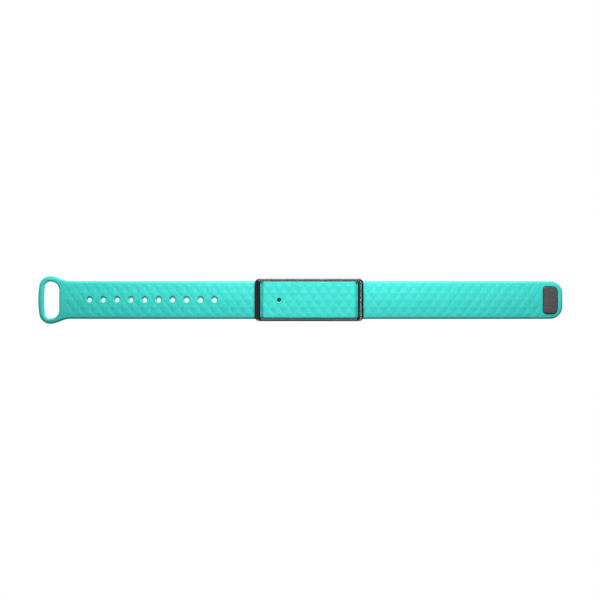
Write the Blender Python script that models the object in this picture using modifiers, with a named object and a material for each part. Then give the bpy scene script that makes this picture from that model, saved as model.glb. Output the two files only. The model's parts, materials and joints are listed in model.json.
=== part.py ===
"""Fitness tracker band lying open on a table: a sensor capsule in a metal frame, on a one-piece strap.

Axes: +X runs along the strap towards the clasp, +Y across it, and +Z up, away from the wrist.
The origin is the middle of the capsule's flat back, on the table.
The strap is flexible, so it is cut into short rigid links. Each hinge axis lies across the strap, in
its middle layer, halfway between two adjusting holes, so that the links can follow a wrist.
"""

import math

import bmesh
import bpy
from mathutils import Matrix, Vector

MM = 0.001
CLEARANCE = 0.3 * MM  # between separate parts that lie against each other
BOND = 0.05 * MM  # thickness of a solder or glue joint

# Metal frame around the capsule
FRAME_LENGTH = 46.6 * MM
FRAME_WIDTH = 18.2 * MM
FRAME_BOTTOM = 4.2 * MM
FRAME_TOP = 9.8 * MM
FRAME_WALL = 1.0 * MM
FRAME_CORNER = 1.9 * MM
FRAME_TOP_ROUND = 0.45 * MM
FRAME_BOTTOM_ROUND = 0.25 * MM
BAR_WIDTH = 2.3 * MM  # end bars, which pass over the strap
BAR_BOTTOM = 9.0 * MM
SLOT_FLOOR = 6.5 * MM
LIP_BOTTOM = 5.0 * MM  # the lip that the two halves of the capsule clamp
LIP_TOP = 5.5 * MM
LIP_DEPTH = 0.8 * MM
INNER_X = FRAME_LENGTH / 2 - FRAME_WALL
INNER_Y = FRAME_WIDTH / 2 - FRAME_WALL

# Capsule: bottom case, seal and top cover
CASE_X = INNER_X - 0.4 * MM
CASE_Y = INNER_Y - 0.4 * MM
CASE_RIM = LIP_BOTTOM - 0.4 * MM
CASE_WALL = 1.2 * MM
CASE_FLOOR = 0.8 * MM
CASE_CORNER = 2.6 * MM
CASE_BOTTOM_ROUND = 1.8 * MM
CASE_INNER_ROUND = 0.8 * MM
COVER_BOTTOM = 5.9 * MM
COVER_X = INNER_X - CLEARANCE
COVER_Y = INNER_Y - CLEARANCE
PLUG_X = INNER_X - LIP_DEPTH - CLEARANCE  # ring that reaches down through the lip onto the seal
PLUG_Y = INNER_Y - LIP_DEPTH - CLEARANCE
PLUG_WALL = 0.7 * MM
PLUG_BOTTOM = 5.6 * MM
SEAL_BOTTOM = 4.9 * MM
SEAL_TOP = 5.3 * MM
SEAL_WALL = 0.6 * MM

# Case screws, from below into the cover's posts
SCREW_X = 18.2 * MM
SCREW_Y = 4.3 * MM
SCREW_HEAD_R = 1.0 * MM
SCREW_HEAD_BOTTOM = 0.1 * MM
SCREW_HEAD_TOP = 0.6 * MM
SCREW_R = 0.5 * MM
SCREW_TOP = 4.8 * MM
SCREW_RECESS_R = 1.1 * MM
SCREW_PLAY = 0.15 * MM  # around a screw's shank in the case
THREAD_PLAY = 0.05 * MM  # around it in the cover's post
POST_R = 1.2 * MM
POST_BOTTOM = 1.9 * MM
PEDESTAL_R = 1.7 * MM
PEDESTAL_TOP = POST_BOTTOM - CLEARANCE

# Strap
STRAP_WIDTH = 16.3 * MM
STRAP_THICK = 1.9 * MM
WAIST_WIDTH = 15.6 * MM  # inside the frame
WAIST_END = 24.0 * MM  # shoulders that stop the capsule from sliding
PAD_X = 20.7 * MM  # thicker part, which fills the frame's window
PAD_Y = 7.7 * MM
PAD_TOP = 9.2 * MM
PAD_CORNER = 1.0 * MM
PAD_ROUND = 0.35 * MM
STRAP_UNDERSIDE = SLOT_FLOOR + CLEARANCE
STRAP_MIDDLE = STRAP_UNDERSIDE + STRAP_THICK / 2
FIRST_HINGE = 25.7 * MM
LINK = 6.0 * MM  # hinge pitch, equal to the pitch of the adjusting holes
LINKS = 13  # on each side; the last carries the loop or the clasp
LINK_GAP = 0.4 * MM
HOLE_R = 1.15 * MM
FIRST_HOLED_LINK = 3
LAST_HOLED_LINK = 12
LED_X = -12.9 * MM
LED_HOLE_R = 0.75 * MM
PIPE_R = 0.45 * MM
PIPE_FOOT_R = 0.7 * MM
PIPE_PLAY = 0.1 * MM
PIPE_TOP = 8.5 * MM

# Loop end of the strap, on the -X side
LOOP_END = 117.2 * MM
LOOP_HALF_WIDTH = 10.3 * MM
LOOP_CORNER = 4.7 * MM
FLARE_START = 101.5 * MM
FLARE_END = 112.0 * MM
OPENING_NEAR = 108.3 * MM
OPENING_FAR = 114.5 * MM
OPENING_HALF_WIDTH = 8.0 * MM
OPENING_NEAR_CORNER = 3.8 * MM
OPENING_FAR_CORNER = 2.2 * MM

# Clasp end of the strap, on the +X side
TIP_END = 109.45 * MM
TIP_CORNER = 5.2 * MM
CLASP_X = 104.05 * MM
PLATE_LENGTH = 6.1 * MM
PLATE_WIDTH = 11.4 * MM
PLATE_THICK = 0.7 * MM
PLATE_PROUD = 0.35 * MM
PLATE_INNER_CORNER = 1.2 * MM
PLATE_OUTER_CORNER = 2.2 * MM
POCKET_GAP = 0.1 * MM
STUD_NECK_R = 1.0 * MM
STUD_HEAD_R = 1.6 * MM
STUD_REACH = 2.6 * MM  # below the strap
STUD_HEAD = 1.1 * MM

# How far each side of the strap droops at its end: the loop and the clasp's stud reach the table
LEFT_DROP = STRAP_MIDDLE - STRAP_THICK / 2
RIGHT_DROP = 4.72 * MM

# Electronics
BOARD_X = 16.8 * MM
BOARD_Y = 5.8 * MM
BOARD_BOTTOM = 5.1 * MM
BOARD_TOP = 5.5 * MM
BATTERY_LOW = Vector((-16.4, -5.2, 1.15)) * MM
BATTERY_HIGH = Vector((3.6, 5.2, 4.0)) * MM
PIN_X = 7.5 * MM
PIN_Y = 2.5 * MM
PIN_R = 0.9 * MM
PIN_HEAD_R = 1.3 * MM
PIN_HEAD_TOP = 1.3 * MM
PIN_BOTTOM = 0.08 * MM
PIN_PLAY = 0.1 * MM
MOTOR_X = 13.0 * MM
MOTOR_Z = 3.3 * MM
MOTOR_R = 1.5 * MM
MOTOR_FRONT = -0.6 * MM
MOTOR_BACK = 5.6 * MM
WEIGHT_R = 1.35 * MM
WEIGHT_HUB_R = 0.65 * MM
WEIGHT_FRONT = -4.6 * MM
WEIGHT_BACK = -1.4 * MM
SHAFT_R = 0.3 * MM
SHAFT_FRONT = -4.8 * MM
SHAFT_BACK = 0.6 * MM

ROUND_SIDES = 24
SMOOTH_ANGLE = math.radians(35)

COLOURS = {  # base colour, roughness, metallic
    "strap_tpu": ((0.07, 0.72, 0.63), 0.45, 0.0),
    "dark_chrome": ((0.16, 0.17, 0.18), 0.12, 1.0),
    "black_plastic": ((0.02, 0.02, 0.022), 0.35, 0.0),
    "seal_rubber": ((0.09, 0.09, 0.1), 0.8, 0.0),
    "smoked_lens": ((0.03, 0.035, 0.04), 0.1, 0.0),
    "steel": ((0.55, 0.55, 0.57), 0.3, 1.0),
    "gold_contact": ((0.83, 0.62, 0.25), 0.25, 1.0),
    "clasp_grey": ((0.12, 0.12, 0.13), 0.4, 1.0),
    "board_green": ((0.02, 0.16, 0.07), 0.5, 0.0),
    "chip_black": ((0.03, 0.03, 0.03), 0.6, 0.0),
    "ceramic": ((0.75, 0.73, 0.68), 0.5, 0.0),
    "battery_foil": ((0.68, 0.69, 0.71), 0.35, 1.0),
    "foam": ((0.15, 0.15, 0.16), 0.9, 0.0),
    "wire_red": ((0.6, 0.03, 0.02), 0.5, 0.0),
    "wire_black": ((0.03, 0.03, 0.03), 0.5, 0.0),
    "wire_blue": ((0.02, 0.08, 0.5), 0.5, 0.0),
    "tungsten": ((0.35, 0.35, 0.36), 0.4, 1.0),
}


# ---------------------------------------------------------------- Blender helpers


def clear_scene():
    for obj in list(bpy.data.objects):
        bpy.data.objects.remove(obj, do_unlink=True)


def new_collection(name):
    made = bpy.data.collections.new(name)
    bpy.context.scene.collection.children.link(made)
    return made


def material(name):
    found = bpy.data.materials.get(name)
    if found:
        return found
    colour, roughness, metallic = COLOURS[name]
    made = bpy.data.materials.new(name)
    made.use_nodes = True
    shader = made.node_tree.nodes["Principled BSDF"]
    shader.inputs["Base Color"].default_value = (*colour, 1.0)
    shader.inputs["Roughness"].default_value = roughness
    shader.inputs["Metallic"].default_value = metallic
    return made


def add_part(name, data, finish, matrix=None):
    """A visible part of the band, from mesh or curve data."""
    obj = bpy.data.objects.new(name, data)
    obj.matrix_world = matrix or Matrix.Identity(4)
    data.materials.append(material(finish))
    band.objects.link(obj)
    return obj


def add_tool(data, matrix=None):
    """A helper for a Boolean, which never shows."""
    obj = bpy.data.objects.new("tool", data)
    obj.matrix_world = matrix or Matrix.Identity(4)
    obj.hide_render = True
    obj.display_type = "WIRE"
    cutters.objects.link(obj)
    return obj


def mesh_from(bm, smooth=False):
    mesh = bpy.data.meshes.new("mesh")
    bm.to_mesh(mesh)
    bm.free()
    if smooth:
        mesh.shade_smooth()
        mesh.set_sharp_from_angle(angle=SMOOTH_ANGLE)
    return mesh


def combine(obj, data, operation, matrix=None):
    """Cuts data from obj, or joins it to obj."""
    modifier = obj.modifiers.new(operation.lower(), "BOOLEAN")
    modifier.operation = operation
    modifier.solver = "EXACT"
    modifier.object = add_tool(data, matrix)


def cut(obj, data, matrix=None):
    combine(obj, data, "DIFFERENCE", matrix)


def join(obj, data, matrix=None):
    combine(obj, data, "UNION", matrix)


def round_edges(bm, chosen, radius, segments):
    if radius > 0:
        bmesh.ops.bevel(
            bm, geom=chosen, offset=radius, segments=segments, profile=0.5, affect="EDGES"
        )


def block(low, high, corner=0.0, top=0.0, bottom=0.0, segments=4):
    """A box mesh with rounded upright edges, and with its top and bottom rims rounded too."""
    low, high = Vector(low), Vector(high)
    bm = bmesh.new()
    bmesh.ops.create_cube(bm, size=1.0)
    size = high - low
    bmesh.ops.scale(bm, vec=size, verts=bm.verts)
    bmesh.ops.translate(bm, vec=(low + high) / 2, verts=bm.verts)
    upright = [e for e in bm.edges if abs(e.verts[0].co.z - e.verts[1].co.z) > size.z / 2]
    round_edges(bm, upright, corner, segments)
    for level, radius in ((high.z, top), (low.z, bottom)):
        rim = [e for e in bm.edges if all(abs(v.co.z - level) < 1e-7 for v in e.verts)]
        round_edges(bm, rim, radius, segments - 1)
    return mesh_from(bm, smooth=corner > 0)


def centred_block(half_x, half_y, z0, z1, **rounding):
    return block((-half_x, -half_y, z0), (half_x, half_y, z1), **rounding)


def rod(radius, start, end, sides=ROUND_SIDES):
    """A round bar mesh between two points."""
    start, end = Vector(start), Vector(end)
    bm = bmesh.new()
    turn = (end - start).to_track_quat("Z", "Y").to_matrix().to_4x4()
    bmesh.ops.create_cone(
        bm,
        cap_ends=True,
        segments=sides,
        radius1=radius,
        radius2=radius,
        depth=(end - start).length,
        matrix=Matrix.Translation((start + end) / 2) @ turn,
    )
    return mesh_from(bm, smooth=True)


def upright_rod(radius, x, y, z0, z1, sides=ROUND_SIDES):
    return rod(radius, (x, y, z0), (x, y, z1), sides)


def turned(name, profile, finish, matrix):
    """A part turned about its own Z axis from (radius, z) points, listed from top to bottom."""
    bm = bmesh.new()
    points = [bm.verts.new((radius, 0.0, z)) for radius, z in profile]
    for upper, lower in zip(points, points[1:]):
        bm.edges.new((upper, lower))
    obj = add_part(name, mesh_from(bm), finish, matrix)
    screw = obj.modifiers.new("turn", "SCREW")
    screw.axis = "Z"
    screw.steps = screw.render_steps = ROUND_SIDES
    screw.use_merge_vertices = True
    screw.merge_threshold = 0.01 * MM
    return obj


def arc(centre, radius, start, end, steps):
    """Points on an arc, with angles in degrees."""
    angles = [math.radians(start + (end - start) * i / steps) for i in range(steps + 1)]
    return [(centre[0] + radius * math.cos(a), centre[1] + radius * math.sin(a)) for a in angles]


def circle(x, y, radius):
    return arc((x, y), radius, 0, 360, ROUND_SIDES)[:-1]


def outline_curve(loops, thickness):
    """A flat plate as a filled 2D curve. Its first loop is the edge, and the others are holes."""
    curve = bpy.data.curves.new("outline", "CURVE")
    curve.dimensions = "2D"
    curve.fill_mode = "BOTH"
    curve.extrude = thickness / 2
    for loop in loops:
        spline = curve.splines.new("POLY")
        spline.points.add(len(loop) - 1)
        spline.use_cyclic_u = True
        for point, (x, y) in zip(spline.points, loop):
            point.co = (x, y, 0.0, 1.0)
    return curve


def mesh_of_curve(obj):
    """Turns a curve object into a mesh object with welded caps, so that it can be cut."""
    graph = bpy.context.evaluated_depsgraph_get()
    mesh = bpy.data.meshes.new_from_object(obj.evaluated_get(graph))
    bm = bmesh.new()
    bm.from_mesh(mesh)
    bmesh.ops.remove_doubles(bm, verts=bm.verts, dist=0.001 * MM)
    bm.to_mesh(mesh)
    bm.free()
    name, place = obj.name, obj.matrix_world.copy()
    curve = obj.data
    finish = curve.materials[0].name
    bpy.data.objects.remove(obj)
    bpy.data.curves.remove(curve)
    mesh.materials.clear()
    return add_part(name, mesh, finish, place)


def wire(name, points, radius, finish):
    curve = bpy.data.curves.new(name, "CURVE")
    curve.dimensions = "3D"
    curve.bevel_depth = radius
    curve.bevel_resolution = 1
    curve.use_fill_caps = True
    spline = curve.splines.new("POLY")
    spline.points.add(len(points) - 1)
    for point, place in zip(spline.points, points):
        point.co = (*place, 1.0)
    return add_part(name, curve, finish)


# ---------------------------------------------------------------- Strap


def strap_drop(distance, side):
    """How far the strap's middle layer has drooped at this distance from the capsule's centre."""
    end, drop = (LOOP_END, LEFT_DROP) if side < 0 else (TIP_END, RIGHT_DROP)
    beyond = max(0.0, distance - FIRST_HINGE) / (end - FIRST_HINGE)
    return drop * beyond**2


def link_frame(start, end, side):
    """The matrix of a straight link between two distances: its origin is the link's middle."""
    z0 = STRAP_MIDDLE - strap_drop(start, side)
    z1 = STRAP_MIDDLE - strap_drop(end, side)
    slope = math.atan2(z0 - z1, end - start)
    middle = Vector((side * (start + end) / 2, 0.0, (z0 + z1) / 2))
    return Matrix.Translation(middle) @ Matrix.Rotation(side * slope, 4, "Y")


def link_name(side, number):
    return f"strap_{'left' if side < 0 else 'right'}_{number:02d}"


def rectangle(half_x, half_y):
    return [(-half_x, -half_y), (half_x, -half_y), (half_x, half_y), (-half_x, half_y)]


def add_waist():
    """The strap inside the frame: shoulders outside the ends, and a pad that fills the window."""
    end, inner, outer = FIRST_HINGE - LINK_GAP / 2, WAIST_WIDTH / 2, STRAP_WIDTH / 2
    quarter = [(end, outer), (WAIST_END, outer), (WAIST_END, inner)]
    left = [(-x, y) for x, y in reversed(quarter)]
    half = quarter + left
    edge = half + [(x, -y) for x, y in reversed(half)]
    waist = mesh_of_curve(
        add_part(
            "strap_waist", outline_curve([edge], STRAP_THICK), "strap_tpu",
            Matrix.Translation((0, 0, STRAP_MIDDLE)),
        )
    )
    pad = centred_block(
        PAD_X, PAD_Y, STRAP_MIDDLE, PAD_TOP, corner=PAD_CORNER, top=PAD_ROUND
    )
    join(waist, pad)
    cut(waist, upright_rod(LED_HOLE_R, LED_X, 0.0, STRAP_UNDERSIDE - MM, PAD_TOP + MM))


def add_plain_links(side):
    for number in range(1, LINKS):
        start = FIRST_HINGE + (number - 1) * LINK
        loops = [rectangle((LINK - LINK_GAP) / 2, STRAP_WIDTH / 2)]
        if side < 0 and FIRST_HOLED_LINK <= number <= LAST_HOLED_LINK:
            loops.append(circle(0.0, 0.0, HOLE_R))
        curve = outline_curve(loops, STRAP_THICK)
        place = link_frame(start, start + LINK, side)
        add_part(link_name(side, number), curve, "strap_tpu", place)


def end_link_start():
    return FIRST_HINGE + (LINKS - 1) * LINK


def smoothstep(t):
    t = min(1.0, max(0.0, t))
    return t * t * (3 - 2 * t)


def loop_outline(middle):
    """Half of the loop end's edge, from the hinge to the far bar, with x measured from middle."""
    half = [(end_link_start() + LINK_GAP / 2, STRAP_WIDTH / 2)]
    steps = 8
    for i in range(steps + 1):
        distance = FLARE_START + (FLARE_END - FLARE_START) * i / steps
        widened = (LOOP_HALF_WIDTH - STRAP_WIDTH / 2) * smoothstep(i / steps)
        half.append((distance, STRAP_WIDTH / 2 + widened))
    corner = (LOOP_END - LOOP_CORNER, LOOP_HALF_WIDTH - LOOP_CORNER)
    half += arc(corner, LOOP_CORNER, 90, 0, 8)
    return [(middle - x, y) for x, y in half]


def loop_opening(middle):
    """Half of the loop's opening, from its near edge to its far edge."""
    near, far = OPENING_NEAR_CORNER, OPENING_FAR_CORNER
    half = arc((OPENING_NEAR + near, OPENING_HALF_WIDTH - near), near, 180, 90, 6)
    half += arc((OPENING_FAR - far, OPENING_HALF_WIDTH - far), far, 90, 0, 6)
    return [(middle - x, y) for x, y in half]


def mirrored(half):
    return half + [(x, -y) for x, y in reversed(half)]


def add_loop_link():
    start = end_link_start()
    middle = (start + LOOP_END) / 2
    loops = [mirrored(loop_outline(middle)), mirrored(loop_opening(middle))]
    place = link_frame(start, LOOP_END, -1)
    add_part(link_name(-1, LINKS), outline_curve(loops, STRAP_THICK), "strap_tpu", place)


def clasp_frame():
    """The frame of the last link on the clasp side, moved to the middle of the clasp."""
    start = end_link_start()
    place = link_frame(start, TIP_END, 1)
    return place @ Matrix.Translation((CLASP_X - (start + TIP_END) / 2, 0, 0))


def plate_outline(grow=0.0):
    """The clasp plate's edge: small corners towards the capsule, and large ones at the tip."""
    half_x, half_y = PLATE_LENGTH / 2 + grow, PLATE_WIDTH / 2 + grow
    inner, outer = PLATE_INNER_CORNER + grow, PLATE_OUTER_CORNER + grow
    half = arc((-half_x + inner, half_y - inner), inner, 180, 90, 4)
    half += arc((half_x - outer, half_y - outer), outer, 90, 0, 6)
    return mirrored(half)


def add_tip_link():
    """The end of the strap, with a pocket for the clasp plate and a hole for its stud."""
    start = end_link_start()
    half = (TIP_END - start) / 2
    edge = [(-half + LINK_GAP / 2, STRAP_WIDTH / 2)]
    edge += arc((half - TIP_CORNER, STRAP_WIDTH / 2 - TIP_CORNER), TIP_CORNER, 90, 0, 8)
    curve = outline_curve([mirrored(edge)], STRAP_THICK)
    tip = add_part(link_name(1, LINKS), curve, "strap_tpu", link_frame(start, TIP_END, 1))
    tip = mesh_of_curve(tip)
    place = clasp_frame()
    pocket_floor = STRAP_THICK / 2 - (PLATE_THICK - PLATE_PROUD) - POCKET_GAP
    pocket = add_part(
        "pocket", outline_curve([plate_outline(POCKET_GAP)], 2 * STRAP_THICK), "strap_tpu",
        place @ Matrix.Translation((0, 0, pocket_floor + STRAP_THICK)),
    )
    pocket = mesh_of_curve(pocket)
    cut(tip, pocket.data, pocket.matrix_world)
    bpy.data.objects.remove(pocket)
    shank = upright_rod(STUD_NECK_R + CLEARANCE, 0, 0, -2 * STRAP_THICK, 2 * STRAP_THICK)
    cut(tip, shank, place)


def add_clasp():
    """The plate on the outside of the tip, and the mushroom stud that snaps into a hole."""
    place = clasp_frame()
    plate_middle = STRAP_THICK / 2 + PLATE_PROUD - PLATE_THICK / 2
    curve = outline_curve([plate_outline()], PLATE_THICK)
    add_part("clasp_plate", curve, "clasp_grey", place @ Matrix.Translation((0, 0, plate_middle)))
    under = -STRAP_THICK / 2
    head_low = under - STUD_REACH
    head_high = head_low + STUD_HEAD
    dome = [
        (radius, head_low + STUD_HEAD / 2 * (1 - math.cos(math.asin(radius / STUD_HEAD_R))))
        for radius in (STUD_HEAD_R * share for share in (1.0, 0.9, 0.7, 0.4))
    ]
    profile = [
        (0.0, plate_middle - PLATE_THICK / 2 - BOND),
        (STUD_NECK_R, plate_middle - PLATE_THICK / 2 - BOND),
        (STUD_NECK_R, head_high),
        (STUD_HEAD_R, head_high - STUD_HEAD / 4),
        *dome,
        (0.0, head_low),
    ]
    turned("clasp_stud", profile, "clasp_grey", place)


# ---------------------------------------------------------------- Capsule


def add_frame():
    """A polished ring with a slot in each end for the strap, and a lip inside for the capsule."""
    frame = add_part(
        "frame",
        centred_block(
            FRAME_LENGTH / 2, FRAME_WIDTH / 2, FRAME_BOTTOM, FRAME_TOP,
            corner=FRAME_CORNER, top=FRAME_TOP_ROUND, bottom=FRAME_BOTTOM_ROUND,
        ),
        "dark_chrome",
    )
    inner_corner = FRAME_CORNER - FRAME_WALL
    lip_x, lip_y = INNER_X - LIP_DEPTH, INNER_Y - LIP_DEPTH
    cut(frame, centred_block(INNER_X, INNER_Y, FRAME_BOTTOM - MM, LIP_BOTTOM, corner=inner_corner))
    cut(frame, centred_block(lip_x, lip_y, 0.0, FRAME_BOTTOM + 2 * MM, corner=inner_corner))
    cut(frame, centred_block(INNER_X, INNER_Y, LIP_TOP, BAR_BOTTOM, corner=inner_corner))
    window_x = FRAME_LENGTH / 2 - BAR_WIDTH
    cut(frame, centred_block(window_x, INNER_Y, BAR_BOTTOM - MM, FRAME_TOP + MM))
    cut(frame, centred_block(FRAME_LENGTH, INNER_Y, SLOT_FLOOR, BAR_BOTTOM))


def corners(x, y):
    return [(sx * x, sy * y) for sx in (-1, 1) for sy in (-1, 1)]


def add_bottom_case():
    """The tub against the wrist. Its floor carries the charging pins and the four screws."""
    case = add_part(
        "bottom_case",
        centred_block(
            CASE_X, CASE_Y, 0.0, CASE_RIM, corner=CASE_CORNER, bottom=CASE_BOTTOM_ROUND
        ),
        "black_plastic",
    )
    cut(
        case,
        centred_block(
            CASE_X - CASE_WALL, CASE_Y - CASE_WALL, CASE_FLOOR, CASE_RIM + MM,
            corner=CASE_CORNER - CASE_WALL, bottom=CASE_INNER_ROUND,
        ),
    )
    for x, y in corners(SCREW_X, SCREW_Y):
        join(case, upright_rod(PEDESTAL_R, x, y, CASE_FLOOR / 2, PEDESTAL_TOP))
        cut(case, upright_rod(SCREW_RECESS_R, x, y, -MM, SCREW_HEAD_TOP + BOND))
        cut(case, upright_rod(SCREW_R + SCREW_PLAY, x, y, -MM, PEDESTAL_TOP + MM))
    for y in (-PIN_Y, PIN_Y):
        cut(case, upright_rod(PIN_R + PIN_PLAY, PIN_X, y, -MM, CASE_FLOOR + MM))


def add_top_cover():
    """The lid under the strap, with a ring that presses the seal and four posts for the screws."""
    cover = add_part(
        "top_cover",
        centred_block(COVER_X, COVER_Y, COVER_BOTTOM, SLOT_FLOOR, corner=FRAME_CORNER - FRAME_WALL),
        "black_plastic",
    )
    embed = 0.2 * MM
    join(cover, ring(PLUG_X, PLUG_Y, PLUG_WALL, PLUG_BOTTOM, COVER_BOTTOM + embed))
    for x, y in corners(SCREW_X, SCREW_Y):
        join(cover, upright_rod(POST_R, x, y, POST_BOTTOM, COVER_BOTTOM + embed))
        bore_top = SCREW_TOP + CLEARANCE
        cut(cover, upright_rod(SCREW_R + THREAD_PLAY, x, y, POST_BOTTOM - MM, bore_top))
    pipe_bore = PIPE_FOOT_R + PIPE_PLAY
    cut(cover, upright_rod(pipe_bore, LED_X, 0.0, COVER_BOTTOM - MM, SLOT_FLOOR + MM))


def ring(half_x, half_y, wall, z0, z1):
    """A rounded rectangular ring mesh, from an outline with a rounded rectangular hole."""
    loops = []
    for inset in (0.0, wall):
        corner = FRAME_CORNER - FRAME_WALL + wall - inset
        centre = (half_x - inset - corner, half_y - inset - corner)
        right = arc(centre, corner, 90, 0, 4)
        loops.append(mirrored([(-x, y) for x, y in reversed(right)] + right))
    holder = add_part(
        "ring", outline_curve(loops, z1 - z0), "seal_rubber",
        Matrix.Translation((0, 0, (z0 + z1) / 2)),
    )
    holder = mesh_of_curve(holder)
    mesh = holder.data
    mesh.transform(holder.matrix_world)
    mesh.materials.clear()
    bpy.data.objects.remove(holder)
    return mesh


def add_seal():
    add_part("case_seal", ring(PLUG_X, PLUG_Y, SEAL_WALL, SEAL_BOTTOM, SEAL_TOP), "seal_rubber")


def add_light_pipe():
    """Carries the indicator's light through the cover and up into the hole in the strap."""
    bottom, step = COVER_BOTTOM + BOND, SLOT_FLOOR
    profile = [
        (0, PIPE_TOP),
        (PIPE_R, PIPE_TOP),
        (PIPE_R, step),
        (PIPE_FOOT_R, step),
        (PIPE_FOOT_R, bottom),
        (0, bottom),
    ]
    turned("light_pipe", profile, "smoked_lens", Matrix.Translation((LED_X, 0, 0)))


def add_screws():
    """Cross-slotted screws, each with a driver slot cut in its head."""
    for number, (x, y) in enumerate(corners(SCREW_X, SCREW_Y), start=1):
        profile = [
            (0.0, SCREW_TOP),
            (SCREW_R, SCREW_TOP),
            (SCREW_R, SCREW_HEAD_TOP),
            (SCREW_HEAD_R, SCREW_HEAD_TOP),
            (SCREW_HEAD_R, SCREW_HEAD_BOTTOM),
            (0.0, SCREW_HEAD_BOTTOM),
        ]
        place = Matrix.Translation((x, y, 0))
        screw = turned(f"case_screw_{number}", profile, "steel", place)
        depth, long, short = 0.2 * MM, 0.6 * MM, 0.12 * MM
        for half_x, half_y in ((long, short), (short, long)):
            slot = centred_block(half_x, half_y, 0.0, SCREW_HEAD_BOTTOM + depth)
            cut(screw, slot, place)


# ---------------------------------------------------------------- Electronics


def add_box(name, low, high, finish, **rounding):
    add_part(name, block(Vector(low), Vector(high), **rounding), finish)


def add_chip(name, x, y, length, width, height, finish):
    """A component on the underside of the board."""
    top = BOARD_BOTTOM - BOND
    low = (x - length / 2, y - width / 2, top - height)
    add_box(name, low, (x + length / 2, y + width / 2, top), finish)


def add_board():
    board = centred_block(BOARD_X, BOARD_Y, BOARD_BOTTOM, BOARD_TOP, corner=0.8 * MM)
    add_part("circuit_board", board, "board_green")
    add_chip("bluetooth_chip", -3.5 * MM, 0.0, 5 * MM, 5 * MM, 0.7 * MM, "chip_black")
    add_chip("memory_chip", -9.4 * MM, 2.2 * MM, 3 * MM, 4 * MM, 0.7 * MM, "chip_black")
    add_chip("motion_sensor", -9.0 * MM, -2.6 * MM, 2 * MM, 2 * MM, 0.7 * MM, "chip_black")
    add_chip("clock_crystal", 1.2 * MM, -3.6 * MM, 2 * MM, 1.2 * MM, 0.5 * MM, "steel")
    add_chip("chip_antenna", 16.0 * MM, 0.0, 1.2 * MM, 5.2 * MM, 0.7 * MM, "ceramic")
    half = 0.5 * MM
    low = (LED_X - half, -half, BOARD_TOP + BOND)
    add_box("indicator_led", low, (LED_X + half, half, COVER_BOTTOM - BOND), "ceramic")


def add_battery():
    add_box("battery_cell", BATTERY_LOW, BATTERY_HIGH, "battery_foil", corner=0.8 * MM)
    low = (-14 * MM, -3.5 * MM, CASE_FLOOR + BOND)
    add_box("battery_pad", low, (1 * MM, 3.5 * MM, BATTERY_LOW.z - BOND), "foam")
    edge = BATTERY_HIGH.x + BOND
    low, high = (edge, -4.6 * MM, 2.0 * MM), (edge + 1.2 * MM, 4.6 * MM, 2.6 * MM)
    add_box("battery_circuit", low, high, "board_green")
    for y, colour in ((3.4 * MM, "red"), (-3.4 * MM, "black")):
        x, radius = edge + 0.6 * MM, 0.2 * MM
        bend = x + 0.5 * MM
        points = [
            (x, y, 2.6 * MM + BOND),
            (x + 0.1 * MM, y, 3.1 * MM),
            (bend, y, 3.6 * MM),
            (bend, y, 4.4 * MM),
            (x + 0.1 * MM, y, 4.8 * MM),
            (x, y, BOARD_BOTTOM - BOND),
        ]
        wire(f"battery_lead_{colour}", points, radius, f"wire_{colour}")


def add_charge_contacts():
    """Two gold pins through the floor, and the bent springs that join them to the board."""
    for number, y in enumerate((-PIN_Y, PIN_Y), start=1):
        head_low = CASE_FLOOR + BOND
        profile = [
            (0.0, PIN_HEAD_TOP),
            (PIN_HEAD_R, PIN_HEAD_TOP),
            (PIN_HEAD_R, head_low),
            (PIN_R, head_low),
            (PIN_R, PIN_BOTTOM),
            (0.0, PIN_BOTTOM),
        ]
        pin = f"charge_pin_{number}"
        turned(pin, profile, "gold_contact", Matrix.Translation((PIN_X, y, 0)))
        add_contact_spring(f"contact_spring_{number}", y)


def add_contact_spring(name, y):
    """A bent strip: an open ribbon, thickened."""
    half_width, thick, gap = 0.5 * MM, 0.12 * MM, 0.1 * MM
    low, high = PIN_HEAD_TOP + gap, BOARD_BOTTOM - gap
    path = [
        (PIN_X + 0.5 * MM, low),
        (PIN_X - 0.6 * MM, low),
        (PIN_X - 0.9 * MM, low + 0.4 * MM),
        (PIN_X + 0.9 * MM, high - 0.4 * MM),
        (PIN_X + 0.6 * MM, high),
        (PIN_X - 0.5 * MM, high),
    ]
    bm = bmesh.new()
    rows = [[bm.verts.new((x, y + s * half_width, z)) for s in (-1, 1)] for x, z in path]
    for (a, b), (c, d) in zip(rows, rows[1:]):
        bm.faces.new((a, b, d, c))
    spring = add_part(name, mesh_from(bm), "gold_contact")
    solid = spring.modifiers.new("thickness", "SOLIDIFY")
    solid.thickness = thick
    solid.offset = 0.0


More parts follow.
